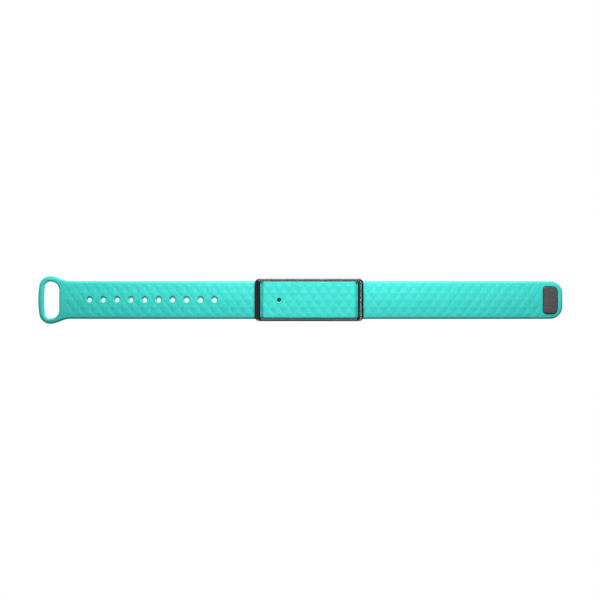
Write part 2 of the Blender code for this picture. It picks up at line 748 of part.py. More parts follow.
def add_motor():
    """A vibration motor: a can in a rubber cradle, and a shaft with an off-centre weight."""
    can = add_part(
        "motor_can",
        rod(MOTOR_R, (MOTOR_X, MOTOR_FRONT, MOTOR_Z), (MOTOR_X, MOTOR_BACK, MOTOR_Z)),
        "steel",
    )
    bore_end = SHAFT_BACK + 0.2 * MM
    cut(can, rod(0.5 * MM, (MOTOR_X, MOTOR_FRONT - MM, MOTOR_Z), (MOTOR_X, bore_end, MOTOR_Z)))
    cradle_low = (MOTOR_X - 2.1 * MM, 0.4 * MM, CASE_FLOOR + BOND)
    cradle = add_part(
        "motor_cradle",
        block(cradle_low, (MOTOR_X + 2.1 * MM, 4.8 * MM, MOTOR_Z - CLEARANCE)),
        "seal_rubber",
    )
    trough = rod(MOTOR_R + 0.1 * MM, (MOTOR_X, -MM, MOTOR_Z), (MOTOR_X, 6 * MM, MOTOR_Z))
    cut(cradle, trough)
    shaft_ends = (MOTOR_X, SHAFT_FRONT, MOTOR_Z), (MOTOR_X, SHAFT_BACK, MOTOR_Z)
    add_part("motor_shaft", rod(SHAFT_R, *shaft_ends, sides=16), "steel")
    edge = arc((0, 0), WEIGHT_R, 180, 360, 12) + arc((0, 0), WEIGHT_HUB_R, 0, 180, 8)
    bore = arc((0, 0), SHAFT_R + BOND, 0, 360, 16)[:-1]
    curve = outline_curve([edge, bore], WEIGHT_BACK - WEIGHT_FRONT)
    middle = Vector((MOTOR_X, (WEIGHT_FRONT + WEIGHT_BACK) / 2, MOTOR_Z))
    turn = Matrix.Rotation(math.radians(90), 4, "X")
    add_part("motor_weight", curve, "tungsten", Matrix.Translation(middle) @ turn)
    for x, colour in ((-0.6 * MM, "red"), (0.6 * MM, "blue")):
        start = MOTOR_X + x
        points = [
            (start, MOTOR_BACK + BOND, MOTOR_Z),
            (start, MOTOR_BACK + 0.25 * MM, MOTOR_Z + 0.1 * MM),
            (start, MOTOR_BACK + 0.3 * MM, MOTOR_Z + 0.9 * MM),
            (start, MOTOR_BACK - 0.1 * MM, BOARD_BOTTOM - BOND),
        ]
        wire(f"motor_lead_{colour}", points, 0.12 * MM, f"wire_{colour}")


clear_scene()
band = new_collection("fitness_band")
cutters = new_collection("cutters")
add_waist()
for strap_side in (-1, 1):
    add_plain_links(strap_side)
add_loop_link()
add_tip_link()
add_clasp()
add_frame()
add_bottom_case()
add_top_cover()
add_seal()
add_light_pipe()
add_screws()
add_board()
add_battery()
add_charge_contacts()
add_motor()
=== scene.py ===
"""Looks for the fitness tracker band: a moulded strap, a polished frame, a clasp, a table and studio light.

The strap's own coordinates are in millimetres: s runs along it from the loop to the clasp, v across it,
and t up from its middle layer. Everything else is in metres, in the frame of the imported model.
"""

import json
import math

import bmesh
import bpy
import numpy as np
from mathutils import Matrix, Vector
from mathutils.geometry import delaunay_2d_cdt


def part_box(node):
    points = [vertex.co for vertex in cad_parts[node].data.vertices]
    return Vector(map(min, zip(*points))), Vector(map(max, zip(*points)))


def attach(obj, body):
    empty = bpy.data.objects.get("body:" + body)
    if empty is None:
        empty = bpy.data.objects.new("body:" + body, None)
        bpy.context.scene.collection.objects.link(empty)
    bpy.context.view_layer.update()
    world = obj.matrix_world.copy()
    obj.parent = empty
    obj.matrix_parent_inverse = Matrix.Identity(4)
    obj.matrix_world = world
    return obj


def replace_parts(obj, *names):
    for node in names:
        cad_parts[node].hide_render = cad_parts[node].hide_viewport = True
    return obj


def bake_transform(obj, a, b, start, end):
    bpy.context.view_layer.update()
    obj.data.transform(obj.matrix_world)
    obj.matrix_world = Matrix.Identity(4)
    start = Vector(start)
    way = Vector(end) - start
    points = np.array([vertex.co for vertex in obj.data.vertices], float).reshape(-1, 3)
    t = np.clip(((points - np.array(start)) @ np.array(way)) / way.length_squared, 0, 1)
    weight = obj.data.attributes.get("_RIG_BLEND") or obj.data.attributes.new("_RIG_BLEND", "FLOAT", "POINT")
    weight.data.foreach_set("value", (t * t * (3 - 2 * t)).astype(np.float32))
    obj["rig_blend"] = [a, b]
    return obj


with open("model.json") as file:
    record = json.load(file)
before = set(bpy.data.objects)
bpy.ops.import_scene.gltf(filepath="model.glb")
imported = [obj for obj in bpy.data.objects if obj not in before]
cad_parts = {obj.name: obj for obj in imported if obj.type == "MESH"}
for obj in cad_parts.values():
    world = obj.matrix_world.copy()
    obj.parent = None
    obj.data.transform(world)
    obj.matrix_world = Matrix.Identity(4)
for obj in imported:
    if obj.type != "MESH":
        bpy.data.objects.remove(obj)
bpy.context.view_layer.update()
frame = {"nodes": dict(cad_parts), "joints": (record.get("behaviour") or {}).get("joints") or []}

MM = 0.001

# Strap outline
LOOP_END = 117.2
TIP_END = 109.45
HALF_WIDTH = 8.15
FIRST_SEAM = 23.5  # just outside the frame
LOOP_HALF_WIDTH = 10.3
LOOP_CORNER = 4.7
LOOP_BULGE = 0.35  # how far the loop's far bar bows out
FLARE_START = 103.6
FLARE_END = 112.0
OPENING_NEAR = 108.0
OPENING_FAR = 114.5
OPENING_HALF_WIDTH = 8.0
OPENING_NEAR_CORNER = 3.8
OPENING_FAR_CORNER = 2.2
TIP_CORNER = 5.2
HOLE_RADIUS = 0.98
HOLE_PITCH = 6.0
FIRST_HOLE = 40.7
HOLES = 10
LED_S = -12.9
LED_HOLE_RADIUS = 0.8

# Clasp
CLASP_S = 104.05
PLATE_HALF_LENGTH = 3.05
PLATE_HALF_WIDTH = 5.7
PLATE_INNER_CORNER = 1.2
PLATE_OUTER_CORNER = 2.2
POCKET_GAP = 0.2
POCKET_FLOOR = 0.5
PLATE_BOTTOM = 0.6
PLATE_TOP = 1.3
PLATE_ROUND = 0.22
PLATE_DOME = 0.06
PLATE_DOME_SHARES = (0.9, 0.75, 0.5, 0.25)  # the dome's rings, from its rim inwards
PLATE_SHARP_ANGLE = 50
STUD_HOLE_RADIUS = 1.3

# Strap section
UNDERSIDE = -0.95
CROWN_TOP = 1.0
CROWN_FALL = 0.55  # from the middle to the sides
PAD_RISE = 0.75  # the strap is thicker in the frame's window, and nearly flush with it
PAD_CROWN_FALL = 0.15
PAD_END = 20.7
PAD_SLOPE = 1.3
EDGE_ROUND = 0.9
PAD_EDGE_ROUND = 0.65  # the pad's +Y edge is tighter
PAD_EDGE_BLEND = (22.8, 1.6)  # where the pad's tighter edge ends, and how far that takes
OPENING_ROUND = (0.8, 1.0)  # how wide and how deep
UNDER_ROUND = (0.4, 0.4)
HOLE_ROUND = (0.95, 1.45)  # on the +Y side, easing to the next on the -Y side
HOLE_FRONT_ROUND = (0.3, 0.4)
LED_ROUND = (0.3, 0.4)
SHANK_ROUND = (0.4, 0.4)
LED_LAND = 1.6  # the relief stops at this distance from the indicator
POCKET_ROUND = (0.14, 0.14)
ROUND_STEPS = 6

# Diamond relief: rows of low pyramids on rhombic bases
DIAMOND_S = -13.1  # an apex
DIAMOND_HALF_LENGTH = 2.15
DIAMOND_HALF_WIDTH = 2.95
DIAMOND_HEIGHT = 0.18
DIAMOND_CELLS = 6  # mesh cells along half a diamond
RELIEF_EDGE = 5.9  # full height inside this distance from the middle line
RELIEF_FADE = 0.7
RELIEF_LOOP_END = 105.2
RELIEF_TIP_END = 99.6
HOLE_LAND = 0.35

SEAM_MARGIN = 0.2  # a piece's end moves with one link for this far

# Spacing of the strap's mesh
OUTLINE_STEP = 0.5
PLAIN_STEP = 0.55  # where the top has no relief
UNDER_STEP = 1.5
ROW_SPACING = 0.87  # rows of equilateral triangles
SEAM_POINTS = 33
EDGE_CLEARANCE = 0.12  # between the relief's points and an edge
SEAM_CLEARANCE = 0.06
RELIEF_MARGIN = 0.25
WELD = 0.002

# Frame
FRAME_WALL = 0.85
FRAME_CORNER = 1.9
FRAME_CROWN = 0.45
FRAME_BOTTOM_ROUND = 0.25
BAR_WIDTH = 2.3
BAR_BOTTOM = 9.0
SLOT_FLOOR = 6.5
SLOT_CORNER = 0.2
WINDOW_CORNER = 0.4
LIP_BOTTOM = 5.0
LIP_TOP = 5.5
FRAME_EDGE = 0.12

# Rounded edges of the small parts
SCREW_EDGE = 0.04
PIN_EDGE = 0.05
CASE_EDGE = 0.06
LENS_EDGE = 0.06
STUD_EDGE = 0.12
SHARP_ANGLE = 35  # an edge that turns further than this is rounded
EDGE_SEGMENTS = 3
CORNER_STEPS = 12

# Camera, room and table, in metres
LENS = 135
CAMERA_AIM = (-0.0039, 0.0, 0.008)
VIEW_WIDTH = 0.258
ROOM_LIGHT = 0.09
ROOM_REFLECTION = 0.3
TABLE_HALF_SIZE = 1.5
PAINTED_CONTACT_REACH = 0.008  # how far the painted contact shadow on the table reaches
# how far the painted shade in the strap's recesses reaches
PAINTED_SHADE_REACH = 0.0012
SHADE_SAMPLES = 8
WHITE = (1, 1, 1)


# ---------------------------------------------------------------- Materials


def new_material(name):
    material = bpy.data.materials.new(name)
    material.use_nodes = True
    return material, material.node_tree, material.node_tree.nodes["Principled BSDF"]


def add_noise(tree, coordinates, size, detail=4.0, stretch=(1, 1, 1)):
    """Noise whose features are about size metres across, as a socket that runs from 0 to 1."""
    mapping = tree.nodes.new("ShaderNodeMapping")
    mapping.inputs["Scale"].default_value = stretch
    noise = tree.nodes.new("ShaderNodeTexNoise")
    noise.inputs["Scale"].default_value = 1 / size
    noise.inputs["Detail"].default_value = detail
    tree.links.new(coordinates, mapping.inputs["Vector"])
    tree.links.new(mapping.outputs["Vector"], noise.inputs["Vector"])
    return noise.outputs["Fac"]


def add_ramp(tree, factor, stops):
    """Colours along a 0 to 1 factor: stops are (place, colour)."""
    ramp = tree.nodes.new("ShaderNodeValToRGB")
    while len(ramp.color_ramp.elements) < len(stops):
        ramp.color_ramp.elements.new(0.5)
    for element, (place, colour) in zip(ramp.color_ramp.elements, stops):
        element.position = place
        element.color = (*colour, 1)
    tree.links.new(factor, ramp.inputs["Fac"])
    return ramp.outputs["Color"]


def add_range(tree, factor, low, high):
    """Spreads the middle of a noise over low to high."""
    span = tree.nodes.new("ShaderNodeMapRange")
    for name, value in (("From Min", 0.3), ("From Max", 0.7), ("To Min", low), ("To Max", high)):
        span.inputs[name].default_value = value
    tree.links.new(factor, span.inputs["Value"])
    return span.outputs["Result"]


def add_bump(tree, height, depth):
    """A bump of about depth metres."""
    bump = tree.nodes.new("ShaderNodeBump")
    bump.inputs["Strength"].default_value = 1.0
    bump.inputs["Distance"].default_value = depth
    tree.links.new(height, bump.inputs["Height"])
    return bump.outputs["Normal"]


def add_painted_shade(tree, reach, stops):
    """Painted shade: a colour that depends on how hemmed in a point is within reach metres, from 0, closed,
    to 1, open.
    """
    shade = tree.nodes.new("ShaderNodeAmbientOcclusion")
    shade.inputs["Distance"].default_value = reach
    shade.samples = SHADE_SAMPLES
    return add_ramp(tree, shade.outputs["AO"], stops)


def add_either(tree, test, others, chosen):
    """Mixes two shaders: the chosen one where the test is 1."""
    mix = tree.nodes.new("ShaderNodeMixShader")
    tree.links.new(test, mix.inputs["Fac"])
    tree.links.new(others, mix.inputs[1])
    tree.links.new(chosen, mix.inputs[2])
    return mix.outputs["Shader"]


def finish(
    name, light, dark, roughness, *, metallic=0.0, mottle=3 * MM, grain=0.15 * MM,
    grain_depth=0.004 * MM, brushed=(1, 1, 1), coat=0.0, soft=0.0,
):
    """A procedural finish.

    Its colour drifts from dark to light over patches of mottle metres, its roughness wanders between two
    values, and its grain of grain metres stands grain_depth proud."""
    material, tree, shader = new_material(name)
    coordinates = tree.nodes.new("ShaderNodeTexCoord").outputs["Object"]
    patches = add_noise(tree, coordinates, mottle)
    grains = add_noise(tree, coordinates, grain, 3.0, brushed)
    tree.links.new(add_ramp(tree, patches, [(0.3, dark), (0.7, light)]), shader.inputs["Base Color"])
    tree.links.new(add_range(tree, grains, *roughness), shader.inputs["Roughness"])
    tree.links.new(add_bump(tree, grains, grain_depth), shader.inputs["Normal"])
    shader.inputs["Metallic"].default_value = metallic
    shader.inputs["Coat Weight"].default_value = coat
    shader.inputs["Coat Roughness"].default_value = 0.08
    shader.inputs["Subsurface Weight"].default_value = soft
    shader.inputs["Subsurface Radius"].default_value = (0.4, 1.0, 0.9)
    shader.inputs["Subsurface Scale"].default_value = 0.6 * MM
    return material


def with_painted_recess_shade(material):
    """Paints shade into a finish's colour where a surface is hemmed in, as in the holes and beside the
    frame.
    """
    tree = material.node_tree
    shader = tree.nodes["Principled BSDF"]
    plain = shader.inputs["Base Color"].links[0].from_socket
    # painted shade: darker teal where the surface is hemmed in, in the holes, beside the frame, at the
    # clasp's pocket and in the relief's valleys
    depth = add_painted_shade(tree, PAINTED_SHADE_REACH, [(0.35, (0.17, 0.32, 0.32)), (0.95, WHITE)])
    blend = tree.nodes.new("ShaderNodeMix")
    blend.data_type = "RGBA"
    blend.blend_type = "MULTIPLY"
    blend.inputs["Factor"].default_value = 1.0
    tree.links.new(plain, blend.inputs[6])
    tree.links.new(depth, blend.inputs[7])
    tree.links.new(blend.outputs[2], shader.inputs["Base Color"])
    return material


TEAL = (0.042, 0.71, 0.63)
DARK_TEAL = (0.036, 0.67, 0.59)

FINISHES = {
    # the strap's colour carries painted shade in its recesses
    "strap_tpu": with_painted_recess_shade(finish(
        "strap_tpu", TEAL, DARK_TEAL, (0.54, 0.64), mottle=9 * MM, grain=0.12 * MM,
        grain_depth=0.003 * MM, soft=0.1,
    )),
    "dark_chrome": finish(
        "dark_chrome", (0.042, 0.044, 0.047), (0.034, 0.036, 0.039), (0.19, 0.25), metallic=1.0,
        mottle=6 * MM, grain=0.5 * MM, grain_depth=0.0001 * MM,
    ),
    "black_plastic": finish(
        "black_plastic", (0.020, 0.021, 0.024), (0.013, 0.014, 0.016), (0.42, 0.55), grain=0.12 * MM,
        grain_depth=0.006 * MM,
    ),
    "seal_rubber": finish("seal_rubber", (0.05, 0.05, 0.05), (0.03, 0.03, 0.03), (0.6, 0.75)),
    "smoked_lens": finish(
        "smoked_lens", (0.035, 0.033, 0.030), (0.02, 0.018, 0.017), (0.10, 0.2),
        grain_depth=0.001 * MM, coat=0.5,
    ),
    "steel": finish(
        "steel", (0.62, 0.61, 0.60), (0.54, 0.53, 0.52), (0.22, 0.36), metallic=1.0, brushed=(1, 8, 1)
    ),
    "gold_contact": finish(
        "gold_contact", (0.90, 0.66, 0.27), (0.82, 0.58, 0.22), (0.16, 0.3), metallic=1.0,
    ),
    "clasp_grey": finish(
        "clasp_grey", (0.135, 0.118, 0.120), (0.072, 0.063, 0.065), (0.50, 0.62), metallic=0.35,
        mottle=0.7 * MM, grain=0.10 * MM, grain_depth=0.010 * MM,
    ),
    "board_green": finish("board_green", (0.02, 0.16, 0.06), (0.015, 0.11, 0.04), (0.3, 0.45), coat=0.4),
    "chip_black": finish("chip_black", (0.03, 0.03, 0.03), (0.018, 0.018, 0.018), (0.5, 0.65)),
    "ceramic": finish("ceramic", (0.78, 0.76, 0.70), (0.68, 0.66, 0.60), (0.35, 0.5)),
    "battery_foil": finish(
        "battery_foil", (0.66, 0.67, 0.69), (0.56, 0.57, 0.60), (0.3, 0.42), metallic=0.9, mottle=2 * MM,
        grain=0.6 * MM, grain_depth=0.02 * MM,
    ),
    "foam": finish("foam", (0.10, 0.10, 0.10), (0.05, 0.05, 0.05), (0.85, 0.95), grain_depth=0.03 * MM),
    "wire_red": finish("wire_red", (0.55, 0.02, 0.02), (0.42, 0.015, 0.015), (0.35, 0.45)),
    "wire_black": finish("wire_black", (0.03, 0.03, 0.03), (0.02, 0.02, 0.02), (0.35, 0.45)),
    "wire_blue": finish("wire_blue", (0.02, 0.08, 0.50), (0.015, 0.06, 0.38), (0.35, 0.45)),
    "tungsten": finish(
        "tungsten", (0.42, 0.41, 0.40), (0.34, 0.33, 0.32), (0.35, 0.5), metallic=1.0, brushed=(1, 1, 6)
    ),
}


def finish_cad_nodes():
    """Gives each CAD node the finish of its slot."""
    for node in frame["nodes"].values():
        node.material_slots[0].material = FINISHES[slot_of(node)]


def slot_of(node):
    """The name of a CAD node's material slot."""
    return node.material_slots[0].material.name.split(".")[0]


def add_object(name, mesh, slot):
    obj = bpy.data.objects.new(name, mesh)
    bpy.context.scene.collection.objects.link(obj)
    obj.data.materials.append(FINISHES[slot])
    return obj


# ---------------------------------------------------------------- Outlines and rings


def smoothstep(t):
    t = np.clip(t, 0.0, 1.0)
    return t * t * (3 - 2 * t)


def arc(centre, radius, start, end, steps):
    """Points on an arc, with angles in degrees."""
    angles = np.radians(np.linspace(start, end, steps + 1))
    return np.column_stack((centre[0] + radius * np.cos(angles), centre[1] + radius * np.sin(angles)))


def circle(s, v, radius, sides=32):
    return arc((s, v), radius, 0, 360, sides)[:-1]


def mirrored(half):
    """Closes a half outline, with v > 0, by its mirror image. Points on the middle line aren't doubled."""
    other = half[::-1] * (1, -1)
    return np.vstack((half, other[np.abs(other[:, 1]) > 1e-9]))


def outward(loop):
    """Unit normals of a closed loop, away from its inside."""
    along = np.roll(loop, -1, axis=0) - np.roll(loop, 1, axis=0)
    normals = np.column_stack((along[:, 1], -along[:, 0]))
    normals /= np.linalg.norm(normals, axis=1)[:, None]
    x, y = loop.T
    area = np.sum(x * np.roll(y, -1) - np.roll(x, -1) * y)
    return normals if area > 0 else -normals


# ---------------------------------------------------------------- The strap's middle line


def hinge(name):
    return next(np.array(j["pos_m"]) / MM for j in frame["joints"] if j["name"] == name)


FIRST = hinge("right_bend_01")
PITCH = hinge("right_bend_02")[0] - FIRST[0]
LINKS = 13
FIRST_D, MIDDLE_Z = FIRST[0], FIRST[2]
LAST_D = FIRST_D + (LINKS - 1) * PITCH
DROOP = {
    side: (MIDDLE_Z - hinge(f"{word}_bend_{LINKS:02d}")[2]) / (LAST_D - FIRST_D) ** 2
    for side, word in ((-1, "left"), (1, "right"))
}


def on_strap(points):
    """World places, in metres, of (s, v, t) points."""
    s, v, t = np.asarray(points, float).T
    side = np.sign(s)
    beyond = np.maximum(0.0, np.abs(s) - FIRST_D)
    curve = np.where(s < 0, DROOP[-1], DROOP[1])
    slope = np.arctan(2 * curve * beyond)
    x = s + side * np.sin(slope) * t
    z = MIDDLE_Z - curve * beyond**2 + np.cos(slope) * t
    return np.column_stack((x, v, z)) * MM


# ---------------------------------------------------------------- The strap's outlines


SEAMS = [FIRST_SEAM] + [FIRST_D + PITCH * (i + 0.5) for i in range(LINKS - 1)]


def straight(start, end, v):
    """Points at v from start to end, with one on each seam between them."""
    stops = sorted([start, *[d for s in SEAMS for d in (s, -s) if start < d < end], end])
    runs = []
    for a, b in zip(stops, stops[1:]):
        steps = max(1, round((b - a) / OUTLINE_STEP))
        runs.append(np.linspace(a, b, steps + 1)[:-1])
    s = np.append(np.concatenate(runs), end)
    return np.column_stack((s, np.full(len(s), v)))


def easing(start, end, v0, v1, steps):
    t = np.linspace(0, 1, steps + 1)
    return np.column_stack((start + (end - start) * t, v0 + (v1 - v0) * smoothstep(t)))


def strap_outline():
    """The strap's edge, from the loop's far bar, along v > 0 to the tip, and back."""
    corner_v = LOOP_HALF_WIDTH - LOOP_CORNER
    v = np.linspace(0, corner_v, 13)
    bar = np.column_stack((-LOOP_END + LOOP_BULGE * (v / corner_v) ** 2, v))
    corner_s = -LOOP_END + LOOP_BULGE + LOOP_CORNER
    corner = arc((corner_s, corner_v), LOOP_CORNER, 180, 90, 12)
    rail = np.array([(-FLARE_END, LOOP_HALF_WIDTH)])
    flare = easing(-FLARE_END, -FLARE_START, LOOP_HALF_WIDTH, HALF_WIDTH, 16)
    side = straight(-FLARE_START, TIP_END - TIP_CORNER, HALF_WIDTH)
    tip = arc((TIP_END - TIP_CORNER, HALF_WIDTH - TIP_CORNER), TIP_CORNER, 90, 0, 12)
    end_v = np.linspace(HALF_WIDTH - TIP_CORNER, 0, 9)
    end = np.column_stack((np.full(9, TIP_END), end_v))
    return mirrored(np.vstack((bar, corner[1:], rail, flare[1:], side[1:], tip[1:], end[1:])))


def opening_outline():
    near, far = OPENING_NEAR_CORNER, OPENING_FAR_CORNER
    near_arc = arc((-(OPENING_NEAR + near), OPENING_HALF_WIDTH - near), near, 0, 90, 10)
    far_arc = arc((-(OPENING_FAR - far), OPENING_HALF_WIDTH - far), far, 90, 180, 8)
    side_v = np.linspace(0, OPENING_HALF_WIDTH - near, 11)
    near_side = np.column_stack((np.full(11, -OPENING_NEAR), side_v))
    far_v = np.linspace(OPENING_HALF_WIDTH - far, 0, 13)
    far_bow = LOOP_BULGE * (1 - (far_v / far_v[0]) ** 2)
    far_side = np.column_stack((-OPENING_FAR - far_bow, far_v))
    return mirrored(np.vstack((near_side, near_arc[1:], far_arc, far_side[1:])))


def plate_outline(grow=0.0):
    """The clasp plate's edge: small corners towards the capsule, and large ones at the tip."""
    half_s, half_v = PLATE_HALF_LENGTH + grow, PLATE_HALF_WIDTH + grow
    inner, outer = PLATE_INNER_CORNER + grow, PLATE_OUTER_CORNER + grow
    steps = 8
    inner_arc = arc((CLASP_S - half_s + inner, half_v - inner), inner, 180, 90, steps)
    outer_arc = arc((CLASP_S + half_s - outer, half_v - outer), outer, 90, 0, steps)
    inner_v = np.linspace(0, half_v - inner, steps + 1)
    inner_side = np.column_stack((np.full(steps + 1, CLASP_S - half_s), inner_v))
    outer_v = np.linspace(half_v - outer, 0, steps + 1)
    outer_side = np.column_stack((np.full(steps + 1, CLASP_S + half_s), outer_v))
    return mirrored(np.vstack((inner_side, inner_arc[1:], outer_arc, outer_side[1:])))


# ---------------------------------------------------------------- The strap's surface


def hole_centres():
    return [-(FIRST_HOLE + HOLE_PITCH * i) for i in range(HOLES)]


def relief(s, v):
    """Height of the diamond relief, from its mean level, before it fades."""
    a = np.abs(((s - DIAMOND_S) / DIAMOND_HALF_LENGTH + 1) % 2 - 1)
    b = np.abs((v / DIAMOND_HALF_WIDTH + 1) % 2 - 1)
    inside = a + b
    height = np.where(inside <= 1, 1 - inside, inside - 1)
    return DIAMOND_HEIGHT * (height - 1 / 3)


def relief_share(s, v):
    share = 1 - smoothstep((np.abs(v) - RELIEF_EDGE) / RELIEF_FADE)
    share = share * (1 - smoothstep((-s - RELIEF_LOOP_END + RELIEF_FADE) / RELIEF_FADE))
    share = share * (1 - smoothstep((s - RELIEF_TIP_END + RELIEF_FADE) / RELIEF_FADE))
    for centre in hole_centres():
        reach = np.hypot(s - centre, v) - HOLE_RADIUS - HOLE_ROUND[0]
        share = share * smoothstep(reach / HOLE_LAND)
    reach = np.hypot(s - LED_S, v) - LED_LAND
    return share * smoothstep(reach / HOLE_LAND)


def top(s, v):
    pad = smoothstep((PAD_END - np.abs(s)) / PAD_SLOPE)
    fall = CROWN_FALL + (PAD_CROWN_FALL - CROWN_FALL) * pad
    crown = CROWN_TOP + PAD_RISE * pad - fall * (v / HALF_WIDTH) ** 2
    return crown + relief(s, v) * relief_share(s, v)


def inside_loop(points, loop):
    """Whether each point is inside a closed loop."""
    x, y = points[:, 0][:, None], points[:, 1][:, None]
    x0, y0 = loop.T
    x1, y1 = np.roll(x0, -1), np.roll(y0, -1)
    spans = (y0 > y) != (y1 > y)
    with np.errstate(divide="ignore", invalid="ignore"):
        crossing = x < (x1 - x0) * (y - y0) / (y1 - y0) + x0
    return (np.count_nonzero(spans & crossing, axis=1) % 2).astype(bool)


def gap_to(points, loop):
    """Distance from each point to the nearest point of a loop whose points are close together."""
    best = np.full(len(points), np.inf)
    for chunk in np.array_split(loop, max(1, len(loop) // 200)):
        d = np.hypot(points[:, None, 0] - chunk[None, :, 0], points[:, None, 1] - chunk[None, :, 1])
        best = np.minimum(best, d.min(axis=1))
    return best


def patch(edge, holes, free, links=(), seams=True):
    """A flat triangulated patch inside edge and outside holes: (points, triangles)."""
    points, edges = [], []
    for loop in (edge, *holes):
        first = sum(len(p) for p in points)
        points.append(loop)
        count = len(loop)
        edges += [(first + i, first + (i + 1) % count) for i in range(count)]
    first = sum(len(p) for p in points)
    points.append(free)
    edges += [(first + a, first + b) for a, b in links]
    if seams:
        for seam in (s for d in SEAMS for s in (d, -d)):
            ends = edge[np.abs(edge[:, 0] - seam) < 1e-6]
            line = np.linspace(ends[0], ends[1], SEAM_POINTS)
            first = sum(len(p) for p in points)
            points.append(line)
            edges += [(first + i, first + i + 1) for i in range(SEAM_POINTS - 1)]
    flat = [Vector(p) for p in np.vstack(points)]
    made = delaunay_2d_cdt(flat, edges, [], 0, 1e-6, False)
    flat, faces = np.array([tuple(p) for p in made[0]]), np.array([tuple(f) for f in made[2]])
    middles = flat[faces].mean(axis=1)
    kept = inside_loop(middles, edge)
    for hole in holes:
        kept &= ~inside_loop(middles, hole)
    return flat, faces[kept]


def relief_lattice(edge, holes):
    """Points of the relief's mesh that are clear of the edges, and the links along its creases."""
    ds = DIAMOND_HALF_LENGTH / DIAMOND_CELLS
    dv = DIAMOND_HALF_WIDTH / DIAMOND_CELLS
    i0 = math.ceil((-RELIEF_LOOP_END - DIAMOND_S) / ds)
    i1 = math.floor((RELIEF_TIP_END - DIAMOND_S) / ds)
    j1 = math.floor((RELIEF_EDGE + RELIEF_FADE) / dv)
    i, j = np.meshgrid(np.arange(i0, i1 + 1), np.arange(-j1, j1 + 1), indexing="ij")
    i, j = i.ravel(), j.ravel()
    points = np.column_stack((DIAMOND_S + i * ds, j * dv))
    clear = inside_loop(points, edge)
    for hole in holes:
        clear &= ~inside_loop(points, hole) & (gap_to(points, hole) > EDGE_CLEARANCE)
    for seam in SEAMS:
        clear &= np.abs(np.abs(points[:, 0]) - seam) > SEAM_CLEARANCE
    clear &= gap_to(points, edge) > EDGE_CLEARANCE
    kept = np.flatnonzero(clear)
    number = {(i[k], j[k]): n for n, k in enumerate(kept)}
    n = DIAMOND_CELLS
    links = []
    for (a, b), start in number.items():
        steps = []
        if a % n == 0:
            steps.append((0, 1))
        if b % n == 0:
            steps.append((1, 0))
        if (a + b) % n == 0:
            steps.append((1, -1))
        if (a - b) % n == 0:
            steps.append((1, 1))
        for da, db in steps:
            end = number.get((a + da, b + db))
            if end is not None:
                links.append((start, end))
    return points[kept], links


def spread(step, edge, holes, avoid=None):
    """Staggered free points for smooth stretches."""
    s = np.arange(-LOOP_END, TIP_END, step)
    rows = []
    for number, v in enumerate(np.arange(-LOOP_HALF_WIDTH, LOOP_HALF_WIDTH, step * ROW_SPACING)):
        rows.append(np.column_stack((s + (number % 2) * step / 2, np.full(len(s), v))))
    points = np.vstack(rows)
    clear = inside_loop(points, edge) & (gap_to(points, edge) > step / 3)
    for hole in holes:
        clear &= ~inside_loop(points, hole) & (gap_to(points, hole) > step / 3)
    for seam in SEAMS:
        clear &= np.abs(np.abs(points[:, 0]) - seam) > step / 4
    if avoid is not None:
        clear &= ~avoid(points)
    return points[clear]


def in_relief(points):
    s, v = points.T
    along = (s > -RELIEF_LOOP_END - RELIEF_MARGIN) & (s < RELIEF_TIP_END + RELIEF_MARGIN)
    return along & (np.abs(v) < RELIEF_EDGE + RELIEF_FADE + RELIEF_MARGIN)


class Shell:
    """Collects the strap's rings and patches of (s, v, t) points, and welds them."""

    def __init__(self):
        self.points, self.faces, self.count = [], [], 0

    def add(self, points, faces):
        self.points.append(points)
        self.faces += [tuple(int(i) + self.count for i in face) for face in faces]
        self.count += len(points)

    def strip(self, ring_a, ring_b):
        count = len(ring_a)
        quads = [(i, (i + 1) % count, count + (i + 1) % count, count + i) for i in range(count)]
        self.add(np.vstack((ring_a, ring_b)), quads)

    def surface(self, flat, faces, height, up=True):
        t = height(flat[:, 0], flat[:, 1])
        self.add(np.column_stack((flat, t)), faces if up else faces[:, ::-1])


def offset_ring(loop, normals, reach, height, fall):
    flat = loop + normals * np.reshape(reach, (-1, 1))
    return np.column_stack((flat, height(flat[:, 0], flat[:, 1]) - fall))


def rounding(loop, normals, size, height, sign):
    """Rings of (s, v, t) points round a rim, from wall to flat. Its size is its width and its depth."""
    wide, deep = size
    rings = []
    for angle in np.linspace(0, math.pi / 2, ROUND_STEPS + 1):
        fall = sign * deep * (1 - math.sin(angle))
        rings.append(offset_ring(loop, normals, wide * (1 - math.cos(angle)), height, fall))
    return rings


def under(s, v):
    return np.full(np.shape(s), UNDERSIDE)


def add_through(shell, loop, inward, top_round, under_round):
    """The wall of an edge or hole that goes right through. Returns its rims on the top and underside."""
    upper = rounding(loop, inward, top_round, top, 1)
    lower = rounding(loop, inward, under_round, under, -1)
    for rings in (upper, lower):
        for a, b in zip(rings, rings[1:]):
            shell.strip(a, b)
    shell.strip(upper[0], lower[0])
    return upper[-1][:, :2], lower[-1][:, :2]


def pocket_floor(s, v):
    return np.full(np.shape(s), POCKET_FLOOR)


